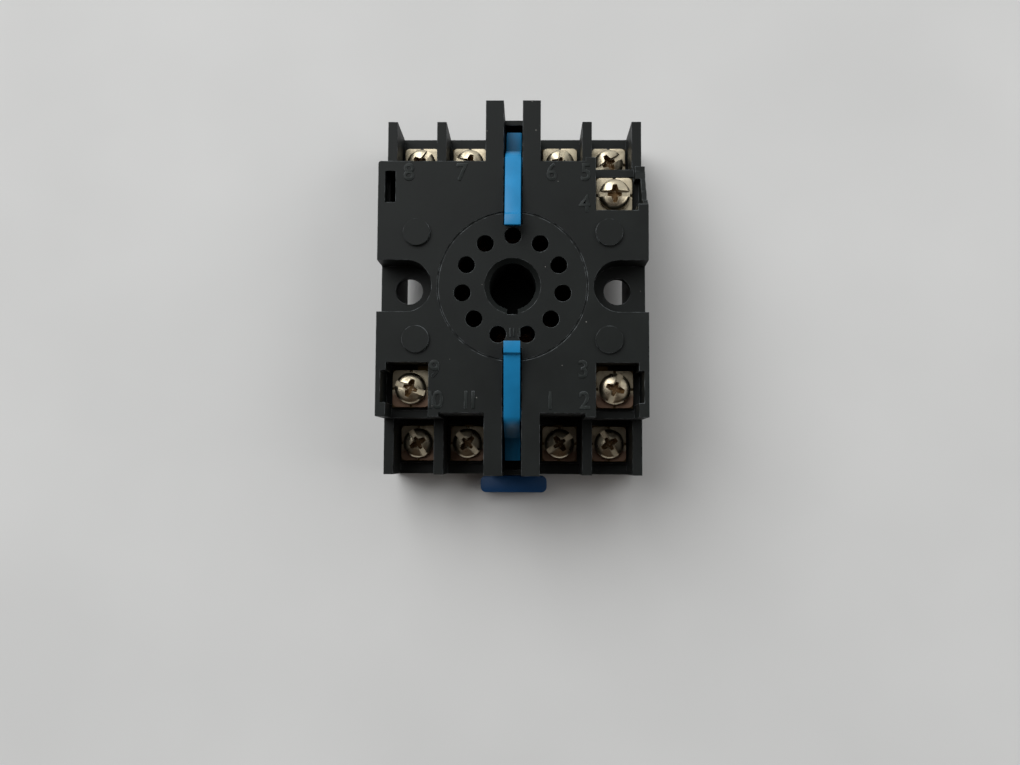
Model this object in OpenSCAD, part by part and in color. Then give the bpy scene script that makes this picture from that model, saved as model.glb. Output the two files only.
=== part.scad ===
// Eleven-pin plug-in relay socket with screw terminals, for a 35 mm rail or a panel.
// The origin is the centre of the relay's pin circle, in the plane of the deck that the relay
// sits on. +Z points out towards the relay, X runs along the rail, and the rail latch is at -Y.

/* [Housing] */
// Width of the housing, along the rail
body_w = 51; // [50:0.5:56]
// Length of the housing, across the rail
body_len = 71; // [70.5:0.5:76]
// Height from the back of the base to the deck
body_h = 31; // [30:0.5:36]
// Length of the deck
deck_len = 47.6; // [46.8:0.2:49]
// Length over the shoulders beside the upper terminals
shoulder_len = 49; // [48.4:0.2:50.4]
// Height of the base
base_h = 7.8; // [7.6:0.1:9]
// Thickness of the deck
deck_t = 2.4; // [2:0.1:2.8]
// Thickness of the side walls and of the walls between terminals
wall_t = 1.9; // [1.7:0.1:2.1]
// Radius of the moulded vertical corners
corner_r = 0.5; // [0.3:0.1:0.8]
// Depth of the tops of the lower terminal walls below the deck
divider_drop = 12.4; // [10:0.2:14]
// Width of the inner wire bays, beside the ribs
inner_bay_w = 8.5; // [8.2:0.1:8.8]
// Width of the outer wire bays, beside the side walls
outer_bay_w = 8; // [7.8:0.1:8.2]
// Depth of the wire bay floor in front of a lower terminal, below its seat
bay_step = 1; // [0.5:0.1:1.5]
// Thickness of the step in front of a lower terminal
bay_step_len = 2.2; // [1.6:0.1:2.4]

/* [Relay face] */
// Diameter of the pin circle
pin_circle_d = 19.05; // [18.9:0.05:19.2]
// Diameter of a pin hole
pin_hole_d = 3.2; // [2.8:0.1:3.4]
// Thickness of the face that the pin holes go through
socket_face_t = 3; // [2.8:0.1:3.4]
// Diameter of the centre bore for the relay's keyed post
key_bore_d = 8.8; // [8.4:0.1:9.2]
// Depth of the centre bore
key_bore_depth = 18; // [14:0.5:19]
// Width of the keyway in the centre bore
keyway_w = 2.05; // [1.6:0.05:2.4]
// Distance from the bore's axis to the bottom of the keyway
keyway_reach = 5.4; // [5.1:0.1:5.8]
// Width of the chamfer round the bore's mouth
bore_chamfer = 0.9; // [0.4:0.1:1.2]
// Diameter of the contact block under the deck
contact_block_d = 26.4; // [25.6:0.2:27]
// Height of the contact block
contact_block_h = 20.4; // [19.6:0.2:21]
// Radius of the ring moulded round the pins
ring_r = 13.9; // [13.4:0.1:14.2]
// Width of the moulded ring
ring_w = 0.3; // [0.2:0.05:0.5]
// Diameter of the raised discs over the assembly posts
disc_d = 5.1; // [4.4:0.1:5.6]
// Height of the raised discs
disc_h = 0.6; // [0.3:0.1:0.9]
// Distance of the discs from the centre along X
disc_x = 18.1; // [17.9:0.1:18.3]
// Distance of the discs from the centre along Y
disc_y = 10.1; // [9.9:0.1:10.3]

/* [Ribs and levers] */
// Width of the slot that a lever moves in
slot_w = 3.6; // [3.4:0.1:4]
// Distance from the centre to the full depth of the slot
slot_start = 12.8; // [12.6:0.1:13]
// Distance from the centre to the lever's rest ledge
ledge_start = 11.6; // [11.4:0.1:11.7]
// Depth of the slot
slot_depth = 15.5; // [15:0.5:17]
// Drop of the bar between the rib ends, below the deck
bar_drop = 11.6; // [11:0.2:13]
// Thickness of the bar between the rib ends
bar_t = 1; // [0.8:0.1:1.3]
// Width of a lever
lever_w = 3.05; // [2.8:0.05:3.2]
// Distance of a lever's pivot from the centre
pivot_y = 24; // [23.8:0.1:24.2]
// Depth of a lever's pivot below the deck
pivot_drop = 3; // [2.8:0.1:3.2]
// Distance of a lever's nose from the centre
lever_tip = 10.75; // [10.7:0.05:10.9]
// Height of a lever's nose above the deck
nose_h = 3.72; // [3.4:0.02:4]
// Height of the face of a lever's nose
nose_t = 1.4; // [1.2:0.1:1.6]
// Length of a lever's nose
nose_len = 2.15; // [2:0.05:2.4]
// Radius of a lever round its pivot
boss_r = 2.6; // [2.4:0.1:2.7]
// Distance from the centre to the end of a lever's finger tab
lever_reach = 32.65; // [32:0.05:33]
// Depth of the end of the finger tab below the deck
tab_drop = 10.4; // [10:0.1:11]
// Thickness of the end of the finger tab
tab_t = 1.8; // [1.5:0.1:2]
// Diameter of a lever's trunnions
trunnion_d = 2.6; // [2.2:0.1:2.8]
// Length of a trunnion in its rib
trunnion_len = 1.2; // [0.8:0.1:1.6]
// Clearance round the trunnions, on the radius
trunnion_gap = 0.06; // [0.03:0.01:0.09]

/* [Terminals] */
// Distance of the lower terminal screws from the centre
lower_screw_y = 29.2; // [29:0.1:29.4]
// Distance of the upper terminal screws from the centre
upper_screw_y = 18.9; // [18.8:0.1:19]
// Depth of the upper terminal seats below the deck
upper_seat_drop = 8.6; // [8:0.1:9.4]
// Thickness of the terminal strips
strip_t = 1; // [0.8:0.1:1.2]
// Width of the square end of a terminal strip
strip_w = 7.2; // [6.8:0.1:7.4]
// Width of the neck of a terminal strip
neck_w = 2; // [1.6:0.1:2.2]
// Diameter of the pad under a contact clip
pad_d = 4; // [3.9:0.1:4.2]
// Nominal diameter of the terminal screws
screw_d = 3.5; // [3:0.1:3.6]
// Clearance of a screw in its strip, on the radius
thread_gap = 0.05; // [0.03:0.01:0.08]
// Length of a terminal screw under its head
screw_len = 6.5; // [5.5:0.1:6.8]
// Diameter of a terminal screw's head
head_d = 6; // [5.6:0.1:6.6]
// Height of a terminal screw's head
head_h = 2.2; // [1.9:0.1:2.5]
// Width of the square clamp washers
washer_w = 7.1; // [6.8:0.1:7.3]
// Thickness of the clamp washers
washer_t = 0.8; // [0.6:0.05:1]
// Depth of a terminal's recess, from the seat to its floor
screw_well = 5.8; // [5.6:0.1:6.2]

/* [Contact clips] */
// Thickness of a clip's spring strip
clip_t = 0.4; // [0.3:0.05:0.45]
// Width of a clip
clip_w = 2.8; // [2.4:0.1:3]
// Distance between a clip's legs, on their centre lines
clip_span = 3.1; // [2.8:0.1:3.2]
// Distance between the legs where they grip the pin, on their centre lines
clip_grip = 2.3; // [2.1:0.1:2.5]
// Clearance of a clip in its chamber
chamber_gap = 0.2; // [0.1:0.05:0.25]

/* [Panel mounting] */
// Distance between the two mounting holes
mount_pitch = 40.2; // [39.8:0.1:40.6]
// Diameter of the mounting holes
mount_hole_d = 5.2; // [4.5:0.1:5.4]
// Width of the pockets for the screw heads
mount_pocket_w = 9.8; // [9:0.1:10.2]
// Depth of the pockets
mount_pocket_depth = 6.5; // [5.5:0.1:7.5]
// Thickness of the pocket floors
mount_floor_t = 2; // [1.6:0.1:2.6]
// Distance from the centre to the outer wall of the shaft under a pocket
shaft_reach = 22.8; // [22.7:0.1:23.2]
// Length of the shaft under a pocket, along Y
shaft_len = 12; // [11:0.5:12.5]

/* [Rail mounting] */
// Width of the rail
rail_w = 35; // [34.8:0.1:35.2]
// Clearance at the edges of the rail
rail_gap = 0.2; // [0.1:0.05:0.4]
// Depth of the rail groove in the base
rail_groove = 5; // [4.8:0.1:5.3]
// Height of the gap that takes the edge of the rail
rail_edge_gap = 1.4; // [1.2:0.1:1.5]
// How far the hooks reach under the rail
hook_reach = 1.6; // [1.2:0.1:1.8]
// Width of the latch's body
latch_w = 10; // [9.6:0.2:10.4]
// Width of the latch's finger end
latch_grip_w = 13.9; // [13:0.1:14.5]
// How far the finger end stands out past the housing
latch_out = 3.9; // [3.4:0.1:4.5]
// Travel of the latch
latch_travel = 2.6; // [2.2:0.1:2.8]
// Clearance round the latch
latch_gap = 0.15; // [0.1:0.05:0.2]
// Thickness of the latch's spring strip
spring_t = 0.35; // [0.25:0.05:0.4]

/* [Hidden] */
$fn = 48;
PINS = 11;
EPS = 1;                                     // how far a cut runs past a face
half_w = body_w / 2;
half_len = body_len / 2;
half_deck = deck_len / 2;
half_shoulder = shoulder_len / 2;
back_z = -body_h;
split_z = back_z + base_h;                   // the joint between the cover and the base
seat_z = split_z + strip_t;                  // top of the lower terminal strips
upper_seat_z = -upper_seat_drop;             // floor of the upper terminal recesses
inner_x = half_w - wall_t;                   // inside of the side walls
outer_bay_x0 = inner_x - outer_bay_w;
rib_x = outer_bay_x0 - wall_t - inner_bay_w; // outside of the ribs beside a lever
inner_screw_x = rib_x + inner_bay_w / 2;
outer_screw_x = outer_bay_x0 + outer_bay_w / 2;
front_wall = 1.8;                            // thickness of the deck block's end walls
recess_y0 = upper_screw_y - strip_w / 2 - 0.9; // inner end of an upper terminal recess
recess_y1 = upper_screw_y + strip_w / 2 + 0.5; // outer end, behind its lip
shelf_wall = 1;                              // wall of an upper recess towards the contacts
shelf_z = upper_seat_z - screw_well - 1.2;   // underside of an upper terminal's shelf
lip_h = 0.25;                                // height of the lip in front of an upper terminal
edge_wall = 0.9;                             // side wall where it is thinned beside a recess
thin_len = 6;                                // length of the thinned stretch
blank_slot = [1.3, 3.3];                     // slot in the corner with no upper terminal
post_d = 6;                                  // post under each raised disc
shaft_wall = 1.2;
shaft_in = mount_pitch / 2 - 3.6;            // inner wall of the shaft under a pocket
trough_wall = 1.5;                           // wall and floor of a lever slot under the deck
chamber_w = clip_w + 2 * chamber_gap;
chamber_len = clip_span + clip_t + 2 * chamber_gap + 0.3;
leg_x = outer_bay_x0 - shelf_wall - 0.2;     // outer face of an upper strip's leg
leg_y0 = recess_y0 - 1.3;
leg_y1 = recess_y0 + 1.2;
groove_z = back_z + rail_groove;             // ceiling of the rail groove
groove_y = rail_w / 2 + rail_gap;
hook_y = rail_w / 2 + rail_gap - hook_reach;
latch_z1 = groove_z - rail_edge_gap;         // top of the latch's body
latch_z0 = back_z + 0.4;                     // underside of the latch
rail_z0 = latch_z0 + 1.3;                    // the latch's guide rails
rail_z1 = rail_z0 + 1.1;
latch_rail_w = 0.9;                          // how far the latch's guide rails stand out
grip_gap = 0.4;                              // between the housing and the latch's finger end
grip_step = 1.4;                             // height of the finger end above the latch's body
grip_r = 1.2;
window_end = 4;                              // from the housing's end to the latch's window
window_len = 10.5;
window_y1 = half_len - window_end;
window_y0 = window_y1 - window_len;
peg_t = 1.8;
peg_y0 = window_y1 - latch_travel - peg_t - 0.4; // the base's peg inside the window
latch_slot_w = 6;                            // width of the window
spring_reach = 1.9;                          // half the width of the folded spring
spring_h = 2;
strip_gap = 0.15;                            // clearance round a strip's neck in the cover
ledge_t = 1.2;                               // height of the ledge over the necks, from their tops
cut_w = 0.9;                                 // width and depth of the slot in a screw's head
cut_depth = 0.85;
cross_w = 3.6;                               // width and depth of the cross recess
cross_depth = 1.6;
clip_drop = 1.5;                             // from the relay face's underside to a clip's mouth
clip_throat = 2.8;                           // length of a clip's tapered mouth
clip_lead = 0.55;                            // how far each leg opens at the mouth
assembly_d = 2.5;                            // shank of the assembly screws
assembly_len = 12;
assembly_head_d = 5;
assembly_head_h = 1.3;
assembly_gap = 0.05;

// Where each numbered terminal stands. 1 to 6 are on the +X side, 4 to 8 at the +Y end.
function side_x(n) = n <= 6 ? 1 : -1;
function side_y(n) = n >= 4 && n <= 8 ? 1 : -1;
function is_upper(n) = n == 3 || n == 4 || n == 9;
function is_inner(n) = n == 1 || n == 6 || n == 7 || n == 11;
function screw_x(n) = is_inner(n) ? inner_screw_x : outer_screw_x;
function screw_y(n) = is_upper(n) ? upper_screw_y : lower_screw_y;
function strip_top(n) = is_upper(n) ? upper_seat_z + strip_t : seat_z;

// Where a strip's neck starts, and so the end of its foot that is nearer to the screw.
function strip_start(n) =
    is_upper(n) ? [side_x(n) * (leg_x - strip_t / 2), side_y(n) * (leg_y0 + 0.3)]
    : [side_x(n) * (screw_x(n) - (is_inner(n) ? 0 : strip_w / 2 - neck_w / 2 + 0.1)),
       side_y(n) * (screw_y(n) - strip_w / 2 + 0.2)];

// How far each screw was turned when it was last done up, in degrees.
function slot_angle(n) = [35, -60, 70, 0, 30, 80, -15, 55, -20, -60, -45][n - 1];

// Pins are numbered counter-clockwise from the keyway, seen from the relay's side.
function pin_angle(n) = -90 + (n - 0.5) * 360 / PINS;
function pin_at(n) = pin_circle_d / 2 * [cos(pin_angle(n)), sin(pin_angle(n))];

// Unit vector from p to q, and that vector turned a quarter turn to the left.
function along(p, q) = (q - p) / norm(q - p);
function left_of(v) = [-v[1], v[0]];

// Offset of a path's point i to its left by d, mitred between its two segments.
function mitred(path, i, d) =
    let (last = len(path) - 1,
         a = i == 0 ? along(path[0], path[1]) : along(path[i - 1], path[i]),
         b = i == last ? a : along(path[i], path[i + 1]),
         m = left_of(a) + left_of(b))
    path[i] + d * 2 * m / (m * m);

// A strip of thickness t that follows a path.
module ribbon(path, t) {
    last = len(path) - 1;
    polygon(concat([for (i = [0:last]) mitred(path, i, t / 2)],
                   [for (i = [last:-1:0]) mitred(path, i, -t / 2)]));
}

// A box between two corners, and one with rounded vertical corners.
module block(x, y, z) {
    translate([x[0], y[0], z[0]]) cube([x[1] - x[0], y[1] - y[0], z[1] - z[0]]);
}

module rounded(w, l, r) {
    square([w - 2 * r, l], center = true);
    square([w, l - 2 * r], center = true);
    for (x = [-1, 1], y = [-1, 1]) translate([x * (w / 2 - r), y * (l / 2 - r)]) circle(r);
}

module rounded_block(w, l, r, z) {
    translate([0, 0, z[0]]) linear_extrude(z[1] - z[0]) rounded(w, l, r);
}

// Repeats its child at both ends, and in all four quarters.
module both_ends() {
    children();
    mirror([0, 1, 0]) children();
}

module all_quarters() {
    both_ends() {
        children();
        mirror([1, 0, 0]) children();
    }
}

// Moves a child drawn for the +X, +Y quarter to the quarter of terminal n.
module at_quarter(n) {
    mirror([side_x(n) < 0 ? 1 : 0, 0, 0]) mirror([0, side_y(n) < 0 ? 1 : 0, 0]) children();
}

// ---- Cover ----

module cover_walls() {
    rounded_block(body_w, deck_len, corner_r, [split_z, 0]);
    both_ends() {
        block([-rib_x, rib_x], [half_deck - EPS, half_len], [split_z, 0]);
    }
    all_quarters() {
        block([inner_x, half_w], [half_deck - EPS, half_len], [split_z, -divider_drop]);
        block([outer_bay_x0 - wall_t, outer_bay_x0], [half_deck - EPS, half_len],
              [split_z, -divider_drop]);
        translate([disc_x, disc_y, -EPS]) cylinder(d = disc_d, h = disc_h + EPS);
    }
    for (n = [3, 4, 9]) at_quarter(n)
        block([outer_bay_x0 - wall_t, half_w], [half_deck - EPS, half_shoulder], [shelf_z, 0]);
    all_quarters()
        block([rib_x - EPS, inner_x + EPS], [half_deck - EPS, lower_screw_y - strip_w / 2 - 0.2],
              [seat_z + strip_gap, seat_z + ledge_t]);
}

module contact_block() {
    translate([0, 0, -contact_block_h])
        cylinder(d = contact_block_d, h = contact_block_h - EPS);
}

module cover_inside() {
    contact_block();
    all_quarters() {
        translate([disc_x, disc_y, split_z]) cylinder(d = post_d, h = -split_z - EPS);
        block([shaft_in - shaft_wall, half_w - EPS], [-EPS, shaft_len / 2 + shaft_wall],
              [split_z, -EPS]);
    }
    both_ends()
        block([-slot_w / 2 - trough_wall, slot_w / 2 + trough_wall], [ledge_start, half_deck - EPS],
              [-slot_depth - trough_wall, -EPS]);
    for (n = [3, 4, 9]) at_quarter(n)
        block([outer_bay_x0 - shelf_wall, half_w - EPS], [recess_y0 - shelf_wall, half_deck - EPS],
              [shelf_z, -EPS]);
}

module keyed_bore() {
    translate([0, 0, -key_bore_depth]) cylinder(d = key_bore_d, h = key_bore_depth + EPS);
    translate([0, 0, -bore_chamfer])
        cylinder(d1 = key_bore_d, d2 = key_bore_d + 2 * bore_chamfer, h = bore_chamfer);
    block([-keyway_w / 2, keyway_w / 2], [-keyway_reach, 0], [-key_bore_depth, EPS]);
}

// A chamber is a little longer than its clip on the outer side, so the clip can open.
module contact_chambers() {
    for (n = [1:PINS]) rotate(pin_angle(n)) translate([pin_circle_d / 2, 0, 0]) {
        translate([0, 0, -socket_face_t - EPS]) cylinder(d = pin_hole_d, h = socket_face_t + 2 * EPS);
        block([-chamber_len / 2, chamber_len / 2], [-chamber_w / 2, chamber_w / 2],
              [-contact_block_h - EPS, -socket_face_t]);
    }
}

module mounting_cuts() {
    for (s = [0, 1]) mirror([s, 0, 0]) {
        translate([mount_pitch / 2, 0, -mount_pocket_depth])
            cylinder(d = mount_pocket_w, h = mount_pocket_depth + EPS);
        block([mount_pitch / 2, half_w + EPS], [-mount_pocket_w / 2, mount_pocket_w / 2],
              [-mount_pocket_depth, EPS]);
        translate([mount_pitch / 2, 0, -mount_pocket_depth - mount_floor_t - EPS])
            cylinder(d = mount_hole_d, h = mount_floor_t + 2 * EPS);
        block([shaft_in, shaft_reach], [-shaft_len / 2, shaft_len / 2],
              [split_z - EPS, -mount_pocket_depth - mount_floor_t]);
    }
}

// Recess, screw well, strip opening and finger slot of an upper terminal.
module upper_terminal_cuts() {
    block([outer_bay_x0, inner_x], [recess_y0, recess_y1], [upper_seat_z, EPS]);
    block([outer_bay_x0, half_w + EPS], [recess_y1 - 0.1, half_shoulder + EPS],
          [upper_seat_z + lip_h, EPS]);
    translate([outer_screw_x, upper_screw_y, upper_seat_z - screw_well])
        cylinder(d = screw_d + 0.7, h = screw_well + EPS);
    block([leg_x - strip_t - 0.3, outer_screw_x - 1], [leg_y0 - 0.1, leg_y1 + 0.1],
          [upper_seat_z, upper_seat_z + strip_t + 0.1]);
    block([inner_x - EPS, half_w - edge_wall],
          [upper_screw_y - thin_len / 2, upper_screw_y + thin_len / 2], [upper_seat_z, EPS]);
}

// The side wall that stands beside an upper recess, out to the shoulder.
module shoulder_wall() {
    block([half_w - edge_wall, half_w], [recess_y1 - 0.2, half_shoulder], [upper_seat_z - EPS, 0]);
    block([inner_x, half_w - edge_wall + 0.1], [upper_screw_y + thin_len / 2, half_shoulder],
          [upper_seat_z - EPS, 0]);
}

// The piece of the outer wall that has broken away beside terminal 4, drawn from the screw's line.
module broken_edge() {
    rim = [[-3.4, 0.1], [-2.8, -1], [-2.2, -1.5], [-1.8, -3.1], [-1.1, -3.3], [0.1, -3.7],
           [0.9, -4.6], [2, -4.8], [2.9, -5.4], [4, -5.6], [4.7, -6.1], [6.7, -6]];
    translate([inner_x - 0.1, upper_screw_y, 0]) rotate([90, 0, 90])
        linear_extrude(wall_t + EPS) polygon(concat(rim, [for (i = [11, 0]) [rim[i][0], EPS]]));
}

module lever_slot_cuts() {
    block([-slot_w / 2, slot_w / 2], [ledge_start, half_len - bar_t], [-socket_face_t, EPS]);
    block([-slot_w / 2, slot_w / 2], [slot_start, half_len - bar_t], [-slot_depth, EPS]);
    block([-slot_w / 2, slot_w / 2], [half_len - bar_t - EPS, half_len + EPS], [-bar_drop, EPS]);
    translate([-slot_w / 2 - trunnion_len - 0.3, pivot_y, -pivot_drop]) rotate([0, 90, 0])
        cylinder(r = trunnion_d / 2 + trunnion_gap, h = slot_w + 2 * trunnion_len + 0.6);
}

// Notches that let the necks of the lower strips through the walls.
module strip_notches() {
    y0 = half_deck - front_wall - EPS;
    y1 = lower_screw_y - strip_w / 2 + EPS / 2;
    for (n = [1:PINS]) if (!is_upper(n)) intersection() {
        translate([0, 0, split_z - EPS]) linear_extrude(strip_t + strip_gap + EPS)
            neck(strip_start(n), pin_at(n), neck_w + 2 * strip_gap);
        block([-half_w, half_w], side_y(n) > 0 ? [y0, y1] : [-y1, -y0],
              [split_z - 2 * EPS, seat_z + EPS]);
    }
}

module cover() {
    color([0.15, 0.16, 0.16]) difference() {
        union() {
            difference() {
                cover_walls();
                block([-inner_x, inner_x], [-half_deck + front_wall, half_deck - front_wall],
                      [split_z - EPS, -deck_t]);
            }
            cover_inside();
        }
        keyed_bore();
        contact_chambers();
        mounting_cuts();
        for (n = [3, 4, 9]) at_quarter(n) difference() {
            upper_terminal_cuts();
            shoulder_wall();
        }
        broken_edge();
        both_ends() lever_slot_cuts();
        strip_notches();
        all_quarters()
            translate([disc_x, disc_y, split_z - EPS])
                cylinder(d = assembly_d + 2 * assembly_gap, h = assembly_len + EPS);
        block([-half_w + blank_slot[0], -half_w + blank_slot[1]],
              [upper_screw_y - thin_len / 2, upper_screw_y + thin_len / 2], [-deck_t - EPS, EPS]);
        rotate_extrude() translate([ring_r, -0.2]) square([ring_w, EPS]);
    }
}

// ---- Base ----

// Outline of the rail groove, with the fixed hook at +Y and a plain wall at -Y.
module rail_groove_outline() {
    polygon([[-groove_y, back_z - EPS], [-groove_y, groove_z], [groove_y, groove_z],
             [groove_y, latch_z1], [hook_y, latch_z1 - 0.5], [hook_y, back_z + 1.4],
             [hook_y + 1.1, back_z], [hook_y + 1.1, back_z - EPS]]);
}

module latch_channel() {
    w = latch_w / 2 + latch_gap;
    block([-w, w], [-half_len - EPS, -hook_y - EPS], [back_z - EPS, latch_z1 + latch_gap]);
    block([-w - latch_rail_w, w + latch_rail_w], [-half_len - EPS, -hook_y - EPS],
          [rail_z0 - latch_gap, rail_z1 + latch_gap]);
}

// Hollows that keep the moulding's walls even, open at the back.
module core_outs() {
    y0 = groove_y + 2;
    y1 = half_len - 2;
    x0 = inner_screw_x + screw_d / 2 + 1.3;
    x1 = outer_screw_x - screw_d / 2 - 1.3;
    all_quarters() block([x0, x1], [y0, y1], [back_z - EPS, split_z - 1.8]);
    for (x = [-1, 1]) translate([x * 3.4, (y0 + y1) / 2, back_z - EPS])
        linear_extrude(base_h - 1.8 + EPS) square([5.2, y1 - y0], center = true);
}

module assembly_hole() {
    translate([disc_x, disc_y, groove_z - EPS])
        cylinder(d = assembly_d + 0.6, h = split_z - groove_z + 2 * EPS);
    translate([disc_x, disc_y, groove_z])
        cylinder(d1 = assembly_head_d + 0.3, d2 = assembly_d + 0.3, h = assembly_head_h + 0.1);
}

module base() {
    color([0.14, 0.15, 0.15]) {
        difference() {
            rounded_block(body_w, body_len, corner_r, [back_z, split_z]);
            translate([-half_w - EPS, 0, 0]) rotate([90, 0, 90])
                linear_extrude(body_w + 2 * EPS) rail_groove_outline();
            latch_channel();
            core_outs();
            all_quarters() assembly_hole();
            for (s = [0, 1]) mirror([s, 0, 0])
                block([shaft_in, shaft_reach], [-shaft_len / 2, shaft_len / 2],
                      [groove_z - EPS, split_z + EPS]);
            for (n = [1:PINS]) if (!is_upper(n)) at_quarter(n) {
                translate([screw_x(n), lower_screw_y, split_z - screw_well])
                    cylinder(d = screw_d + 0.7, h = screw_well + EPS);
                w = is_inner(n) ? inner_bay_w : outer_bay_w;
                block([screw_x(n) - w / 2, screw_x(n) + w / 2],
                      [half_len - bay_step_len, half_len + EPS], [split_z - bay_step, split_z + EPS]);
            }
        }
        block([-latch_slot_w / 2 + 0.6, latch_slot_w / 2 - 0.6], [-peg_y0 - peg_t, -peg_y0],
              [latch_z0 + 0.3, latch_z1 + latch_gap + 0.5]);
    }
}

// ---- Levers ----

// Side outline of a lever, as distance from the centre and height: nose, arm and finger tab.
// The shapes round the pivot follow boss_r, and those of the finger tab follow tab_t.
module lever_outline() {
    ledge_z = -socket_face_t + 0.1;
    foot_y = ledge_start + 0.2;
    nose_y = lever_tip + nose_len;
    px = pivot_y;
    pz = -pivot_drop;
    b = boss_r;
    t = tab_t;
    polygon([[lever_tip, nose_h], [nose_y, nose_h - 0.16 * nose_t],
             [nose_y + 0.16 * nose_len, nose_h - 0.87 * nose_t],
             [px + 0.15 * b, pz + 1.19 * b], [px + 0.6 * b, pz + 0.8 * b], [px + b, pz],
             [lever_reach - 2.4 * t, 1.05 * t - tab_drop], [lever_reach, -tab_drop],
             [lever_reach, -t - tab_drop], [lever_reach - 2.8 * t, -0.45 * t - tab_drop],
             [lever_reach - 3.5 * t, 0.67 * t - tab_drop],
             [px + 0.15 * b, pz - 0.9 * b], [px - 0.7 * b, pz - 0.73 * b],
             [foot_y + nose_len - 0.15, ledge_z + nose_t - 0.1], [foot_y + nose_len / 2, ledge_z],
             [foot_y, ledge_z], [foot_y, nose_h - 1.8 * nose_t], [lever_tip, nose_h - nose_t]]);
}

module ejector_lever() {
    translate([-lever_w / 2, 0, 0]) rotate([90, 0, 90]) linear_extrude(lever_w) lever_outline();
    translate([-slot_w / 2 - trunnion_len, pivot_y, -pivot_drop]) rotate([0, 90, 0])
        cylinder(d = trunnion_d, h = slot_w + 2 * trunnion_len);
}

module ejector_lever_top() { color([0.09, 0.42, 0.64]) ejector_lever(); }

module ejector_lever_bottom() { color([0.09, 0.42, 0.64]) mirror([0, 1, 0]) ejector_lever(); }

// ---- Rail latch ----

module din_latch() {
    grip_y = half_len + latch_out;
    tip_y = hook_y;
    color([0.09, 0.38, 0.58]) difference() {
        union() {
            translate([-latch_w / 2, 0, 0]) rotate([90, 0, 90]) linear_extrude(latch_w)
                polygon([[-half_len - EPS, latch_z0], [-tip_y - 1.4, latch_z0], [-tip_y, latch_z0 + 1.4],
                         [-tip_y, latch_z1 - 0.5], [-tip_y - 1.2, latch_z1], [-half_len - EPS, latch_z1]]);
            block([-latch_w / 2 - latch_rail_w, latch_w / 2 + latch_rail_w],
                  [-half_len, -tip_y - latch_rail_w - latch_travel + 0.5], [rail_z0, rail_z1]);
            translate([0, -(half_len + grip_gap + grip_y) / 2, latch_z0])
                linear_extrude(latch_z1 - latch_z0 + grip_step)
                    rounded(latch_grip_w, grip_y - half_len - grip_gap, grip_r);
        }
        block([-latch_slot_w / 2, latch_slot_w / 2], [-window_y1, -window_y0],
              [latch_z0 - EPS, latch_z1 + EPS]);
    }
}

// Folded spring strip between the base's peg and the inner end of the latch's window.
module latch_spring() {
    folds = 6;
    y0 = peg_y0 - spring_t / 2 - 0.1;
    y1 = window_y0 + spring_t / 2 + 0.1;
    path = concat([[0, y0]],
                  [for (i = [0:folds - 1])
                      [(i % 2 == 0 ? 1 : -1) * spring_reach, y0 + (y1 - y0) * (i + 0.5) / folds]],
                  [[0, y1]]);
    color([0.75, 0.76, 0.78]) mirror([0, 1, 0]) translate([0, 0, latch_z0 + 0.6])
        linear_extrude(spring_h) ribbon(path, spring_t);
}

// ---- Terminals ----

module neck(p, q, w) {
    polygon([for (c = [[p, w], [q, w], [q, -w], [p, -w]]) c[0] + c[1] / 2 * left_of(along(p, q))]);
}

// Flat outline at the level of the lower seats: neck and pad under the contact clip.
module strip_foot(n, start) {
    pin = pin_at(n);
    neck(start, pin, neck_w);
    translate(pin) circle(d = pad_d);
}

module lower_strip(n) {
    c = [side_x(n) * screw_x(n), side_y(n) * screw_y(n)];
    translate([0, 0, split_z]) difference() {
        union() {
            linear_extrude(strip_t) translate(c) square(strip_w, center = true);
            linear_extrude(strip_t) strip_foot(n, strip_start(n));
        }
        translate([c[0], c[1], -EPS])
            cylinder(r = screw_d / 2 + thread_gap, h = strip_t + 2 * EPS);
    }
}

// The upper strips step down: seat, tongue, leg, and a foot on the base.
module upper_strip(n) {
    at_quarter(n) {
        difference() {
            union() {
                translate([outer_screw_x, upper_screw_y, upper_seat_z])
                    linear_extrude(strip_t) square(strip_w, center = true);
                block([leg_x - strip_t, outer_screw_x - 1.2], [leg_y0, leg_y1],
                      [upper_seat_z, upper_seat_z + strip_t]);
            }
            translate([outer_screw_x, upper_screw_y, upper_seat_z - EPS])
                cylinder(r = screw_d / 2 + thread_gap, h = strip_t + 2 * EPS);
        }
        block([leg_x - strip_t, leg_x], [leg_y0, leg_y1], [split_z, upper_seat_z + strip_t]);
    }
    translate([0, 0, split_z]) linear_extrude(strip_t) strip_foot(n, strip_start(n));
}

module terminal_strip(n) {
    color([0.72, 0.6, 0.35])
        if (is_upper(n)) upper_strip(n);
        else lower_strip(n);
}

// A clip is one strip folded into a U, pinched where it grips the relay's pin.
module contact_clip(n) {
    foot = seat_z + clip_t / 2;
    top = -socket_face_t - clip_drop;
    g = clip_grip / 2;
    s = clip_span / 2;
    leg = [[g + clip_lead, top], [g, top - clip_throat], [g, top - 1.3 * clip_throat],
           [s, top - 2.8 * clip_throat], [s, foot]];
    path = concat(leg, [for (i = [len(leg) - 1:-1:0]) [-leg[i][0], leg[i][1]]]);
    color([0.78, 0.66, 0.42])
        rotate(pin_angle(n)) translate([pin_circle_d / 2, clip_w / 2, 0]) rotate([90, 0, 0])
            linear_extrude(clip_w) ribbon(path, clip_t);
}

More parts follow.
